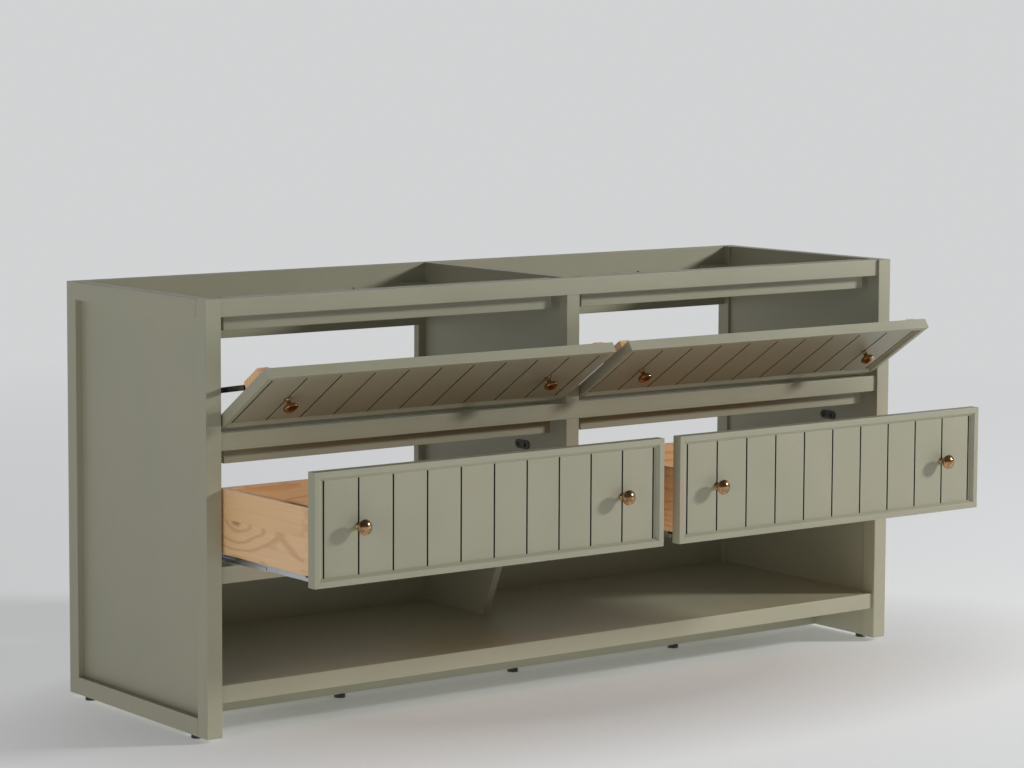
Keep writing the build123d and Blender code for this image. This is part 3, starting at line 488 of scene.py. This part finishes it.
def groove_shade(name):
    """The same lacquer darkened to a near-black olive, dead flat: painted shade for the groove walls."""
    streak_width_mm, streak_length_mm = 5, 33.3
    material, tree, shader, place = new_finish(name)
    streak_scale = (1000 / streak_width_mm, 1000 / streak_width_mm, 1000 / streak_length_mm)
    drawn_out = add_node(tree, "ShaderNodeMapping", {"Vector": place, "Scale": streak_scale})
    shade_streaks = add_node(tree, "ShaderNodeTexNoise", {"Vector": drawn_out, "Scale": 1.0, "Detail": 3.0})
    # Painted shade: dark olive colours that stand in for the shade deep inside the groove.
    inputs = {0: shade_streaks, 6: linear("#2B2920"), 7: linear("#3B392E")}
    colour = add_node(tree, "ShaderNodeMix", inputs, data_type="RGBA").outputs[2]
    bump = add_node(tree, "ShaderNodeBump", {"Height": shade_streaks, "Strength": 0.2, "Distance": 0.0002})
    inputs = {"Base Color": colour, "Roughness": 0.85, "Normal": bump, "IOR": 1.5}
    add_node(tree, shader, inputs)
    return material


groove_painted_shade = groove_shade("sage_lacquer_painted_groove_shade")


def paint_groove_shade(grain, in_groove):
    # The faces picked by the test take the painted shade in place of the lacquer.
    """Give the piece in edit mode its finish, and the darker one where a test says groove."""
    piece = bpy.context.object
    piece.data.materials.append(grain)
    piece.data.materials.append(groove_painted_shade)
    pick("FACE", in_groove)
    piece.active_material_index = 1
    bpy.ops.object.material_slot_assign()


def bead_board(name, board_width, board_height, grain):
    """One board with its two long front edges eased."""
    board = timber(name, (0, panel_recess, 0), (board_width, panel_recess + board_thick, board_height))
    bpy.ops.object.mode_set(mode="EDIT")
    front_edge = panel_recess + TINY
    pick("EDGE", lambda m: m.y < front_edge and abs(m.z - board_height / 2) < TINY)
    bpy.ops.mesh.bevel(offset=board_ease, segments=2, affect="EDGES")
    # The board's two long sides, which face into the grooves, take the painted shade.
    paint_groove_shade(grain, lambda m: min(m.x, board_width - m.x) < TINY)
    bpy.ops.object.mode_set(mode="OBJECT")
    return board


for (side, kind), (width, height, place) in fronts.items():
    lap_edge = frame_border - panel_lap
    first_groove = frame_border + groove_margin
    pitch = (width - 2 * first_groove) / board_count
    board_height = height - 2 * lap_edge
    grain = sage_upright if kind == "drawer" else sage_tilted_upright
    end_width = first_groove - groove_open / 2 - lap_edge
    end_board = bead_board("end_board", end_width, board_height, grain)
    full_board = bead_board("full_board", pitch - groove_open, board_height, grain)
    boards = []
    for count in range(board_count):
        start = first_groove + count * pitch + groove_open / 2
        boards.append(placed(full_board, "board", place @ Matrix.Translation((start, 0, lap_edge))))
    for start in (lap_edge, width - first_groove + groove_open / 2):
        boards.append(placed(end_board, "board", place @ Matrix.Translation((start, 0, lap_edge))))
    back_low = (lap_edge, panel_recess + board_thick, lap_edge)
    backing = timber("backing", back_low, (width - lap_edge, front_thick, height - lap_edge))
    bpy.ops.object.mode_set(mode="EDIT")
    # The backing's front face, which is the floor of each groove, takes the painted shade.
    paint_groove_shade(grain, lambda m: m.y < panel_recess + board_thick + TINY)
    bpy.ops.object.mode_set(mode="OBJECT")
    boards.append(placed(backing, "board", place))
    discard(backing)
    discard(end_board)
    discard(full_board)
    beadboard = joined(f"{side}_{kind}_beadboard", boards)
    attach(beadboard, f"{side}_{kind}")
    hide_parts(f"{side}_{kind}_front_panel")

# Knobs: solid brass, turned, given an antique bronze patina and waxed. Each is held by a
# machine screw whose pan head shows behind the front.


def antique_brass(name):
    """Patinated brass: warm copper-gold where it is rubbed, brown-black where it isn't."""
    patches_mm, tool_marks_mm = 11.1, 1.43
    material, tree, shader, place = new_finish(name)
    inputs = {"Vector": place, "Scale": 1000 / patches_mm, "Detail": 4.0, "Roughness": 0.6}
    patches = add_node(tree, "ShaderNodeTexNoise", inputs)
    inputs = {"Vector": place, "Scale": 1000 / tool_marks_mm, "Detail": 2.0}
    tool_marks = add_node(tree, "ShaderNodeTexNoise", inputs)
    rubbed = add_node(tree, "ShaderNodeMapRange", (patches, 0.36, 0.66, 0.0, 1.0))
    inputs = {0: rubbed, 6: linear("#7E5F43"), 7: linear("#BE9A6E")}
    colour = add_node(tree, "ShaderNodeMix", inputs, data_type="RGBA").outputs[2]
    rough = add_node(tree, "ShaderNodeMapRange", (patches, 0.3, 0.7, 0.26, 0.14))
    inputs = {"Height": tool_marks, "Strength": 0.12, "Distance": 0.0001}
    bump = add_node(tree, "ShaderNodeBump", inputs)
    inputs = {"Base Color": colour, "Roughness": rough, "Normal": bump, "Metallic": 1.0}
    add_node(tree, shader, inputs)
    return material


def turned(name, profile, sides=48):
    """A solid turned about Z: a disc drawn out and scaled ring by ring."""
    clear_selection()
    radius, height = profile[0]
    bpy.ops.mesh.primitive_circle_add(vertices=sides, radius=radius, fill_type="NGON")
    piece = bpy.context.object
    piece.name = name
    bpy.ops.object.mode_set(mode="EDIT")
    bpy.ops.mesh.select_all(action="SELECT")
    for next_radius, next_height in profile[1:]:
        step = {"value": (0, 0, next_height - height)}
        bpy.ops.mesh.extrude_region_move(TRANSFORM_OT_translate=step)
        ratio = next_radius / radius
        bpy.ops.transform.resize(value=(ratio, ratio, 1), center_override=(0, 0, next_height))
        radius, height = next_radius, next_height
    bpy.ops.mesh.select_all(action="SELECT")
    bpy.ops.mesh.fill_holes(sides=0)
    bpy.ops.mesh.select_all(action="SELECT")
    bpy.ops.mesh.normals_make_consistent(inside=False)
    bpy.ops.object.mode_set(mode="OBJECT")
    bpy.ops.object.shade_smooth_by_angle(angle=math.radians(42))
    return piece


brass = antique_brass("antique_brass_waxed")
dome_centre = 0.01079
dome_radius = 0.01921
knob_profile = [(0.0075, 0), (0.0075, 0.0011), (0.0072, 0.0015), (0.0058, 0.0021), (0.0048, 0.0033)]
knob_profile += [(0.0042, 0.0055), (0.0043, 0.0080), (0.0048, 0.0105), (0.0057, 0.0123)]
knob_profile += [(0.0072, 0.0133), (0.0094, 0.0140), (0.0116, 0.0150), (0.0134, 0.0166)]
knob_profile += [(0.0147, 0.0187), (0.0153, 0.0205), (0.0156, 0.0219), (0.0155, 0.0228), (0.0150, 0.0236)]
for angle in (46, 40, 34, 28, 22, 16, 10, 5, 2):
    slope = math.radians(angle)
    knob_profile.append((dome_radius * math.sin(slope), dome_centre + dome_radius * math.cos(slope)))
screw_profile = [(0.0045, 0), (0.0045, 0.0012), (0.0041, 0.0019), (0.0032, 0.00235), (0.0019, 0.0025)]
screw_profile += [(0.0016, 0.0025), (0.0014, 0.0012)]
knob = turned("knob", knob_profile)
pan_head = turned("pan_head", screw_profile, 24)
towards_front = Matrix.Rotation(math.radians(90), 4, "X")
towards_back = Matrix.Rotation(math.radians(-90), 4, "X")
box_board = 0.015
for (side, kind), (width, height, place) in fronts.items():
    first_groove = frame_border + groove_margin
    pitch = (width - 2 * first_groove) / board_count
    screw_seat = front_thick + box_board if kind == "drawer" else front_thick
    parts = []
    for across in (first_groove + pitch, width - first_groove - pitch):
        seat = place @ Matrix.Translation((across, panel_recess, height / 2))
        parts.append(placed(knob, "knob_copy", seat @ towards_front))
        seat = place @ Matrix.Translation((across, screw_seat, height / 2))
        parts.append(placed(pan_head, "head_copy", seat @ towards_back))
    knobs = joined(f"{side}_{kind}_turned_knobs", parts, brass)
    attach(knobs, f"{side}_{kind}")
    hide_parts(f"{side}_{kind}_knobs")
discard(knob)
discard(pan_head)

# Floor and light: a pale floor that melts into the backdrop, a soft key light from the right
# such as a window gives, and a weak fill from the left. The floor glows faintly to the eye, and
# less near the cabinet, as a painted shadow round its foot. The light it throws up under the
# fronts is stronger, as a white studio floor does.
backdrop = (0.64, 0.65, 0.655, 1.0)
sky_in_front, sky_behind = 0.17, 0.04
bounce_near, bounce_far = 0.5, 1.35
painted_shadow_glow, glow_in_the_open = 0.10, 0.40
melt_from, melt_to = 1.6, 6.5
speckle_mm = 16.7
clear_selection()
bpy.ops.mesh.primitive_circle_add(vertices=96, radius=60, fill_type="NGON")
floor = bpy.context.object
floor.name = "floor"
floor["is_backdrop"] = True
material, tree, shader, place = new_finish("pale_concrete_floor")
inputs = {"Vector": place, "Scale": 1000 / speckle_mm, "Detail": 5.0}
speckle = add_node(tree, "ShaderNodeTexNoise", inputs)
inputs = {0: speckle, 6: linear("#C6CACF"), 7: linear("#CDD1D6")}
stone = add_node(tree, "ShaderNodeMix", inputs, data_type="RGBA").outputs[2]
seen = add_node(tree, "ShaderNodeLightPath").outputs["Is Camera Ray"]
# Painted shadow: to the eye the floor's glow falls from 0.40 in the open to 0.10 beside the cabinet.
oval = add_node(tree, "ShaderNodeMapping", {"Vector": place, "Scale": (0.5, 1.0, 1.0)})
beside = add_node(tree, "ShaderNodeVectorMath", (oval,), operation="LENGTH").outputs["Value"]
inputs = (beside, 0.3, 0.75, painted_shadow_glow, glow_in_the_open)
seen_glow = add_node(tree, "ShaderNodeMapRange", inputs)
floor_glow = add_node(tree, "ShaderNodeMix", {0: seen, 2: bounce_near, 3: seen_glow})
inputs = {"Base Color": stone, "Roughness": 0.75, "Emission Strength": floor_glow}
inputs["Emission Color"] = (1.0, 1.0, 1.0, 1.0)
add_node(tree, shader, inputs)
far_glow = add_node(tree, "ShaderNodeMapRange", (seen, 0.0, 1.0, bounce_far, 1.0))
far_floor = add_node(tree, "ShaderNodeEmission", {"Color": backdrop, "Strength": far_glow})
away = add_node(tree, "ShaderNodeVectorMath", (place,), operation="LENGTH").outputs["Value"]
melted = add_node(tree, "ShaderNodeMapRange", (away, melt_from, melt_to, 0.0, 1.0))
whole_floor = add_node(tree, "ShaderNodeMixShader", (melted, shader, far_floor))
add_node(tree, tree.nodes["Material Output"], {"Surface": whole_floor})
floor.data.materials.append(material)

world = bpy.data.worlds.new("studio")
bpy.context.scene.world = world
world.use_nodes = True
tree = world.node_tree
ray = add_node(tree, "ShaderNodeLightPath").outputs
direction = add_node(tree, "ShaderNodeTexCoord").outputs["Generated"]
heading = add_node(tree, "ShaderNodeSeparateXYZ", (direction,)).outputs["Y"]
matt_light = add_node(tree, "ShaderNodeMapRange", (heading, -0.2, 0.5, sky_in_front, sky_behind))
shine = add_node(tree, "ShaderNodeMapRange", (heading, 0.0, 0.5, sky_in_front, 1.0))
lighting = add_node(tree, "ShaderNodeMapRange", (ray["Is Glossy Ray"], 0.0, 1.0, matt_light, shine))
sky_power = add_node(tree, "ShaderNodeMapRange", (ray["Is Camera Ray"], 0.0, 1.0, lighting, 1.0))
add_node(tree, tree.nodes["Background"], {"Color": backdrop, "Strength": sky_power})


def area_light(name, location, target, size, power, colour):
    """A square soft light that faces a point."""
    bpy.ops.object.light_add(type="AREA", location=location)
    light = bpy.context.object
    light.name = name
    light.rotation_euler = (Vector(target) - Vector(location)).to_track_quat("-Z", "Y").to_euler()
    light.data.size = size
    light.data.energy = power
    light.data.color = linear(colour)[:3]


area_light(
    "window_light",
    location=(6.54, -3.79, 3.05),
    target=(0, 0, 0.44),
    size=0.8,
    power=430,
    colour="#FFFDF9",
)
area_light(
    "fill_light",
    location=(-5.6, -2.2, 1.1),
    target=(0, 0, 0.45),
    size=2.2,
    power=40,
    colour="#FFFEFA",
)

# Camera: a long lens in front of the left end, turned towards the right end of the cabinet and
# tipped down a little.
bpy.ops.object.camera_add()
camera = bpy.context.object
camera.data.sensor_width = 36
camera.data.lens = 109.6
camera.data.shift_x = 0.1465
camera.data.shift_y = -0.0586
turn, dip = math.radians(34.71), math.radians(5.56)
to_the_left, to_the_front, eye_height = 3.175, 5.663, 1.415
aim = Vector((math.sin(turn) * math.cos(dip), math.cos(turn) * math.cos(dip), -math.sin(dip)))
camera.location = (cad_low.x - to_the_left, cad_high.y - to_the_front, eye_height)
camera.rotation_euler = aim.to_track_quat("-Z", "Y").to_euler()
bpy.context.scene.camera = camera
bpy.context.scene.view_settings.view_transform = "Standard"

low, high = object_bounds()
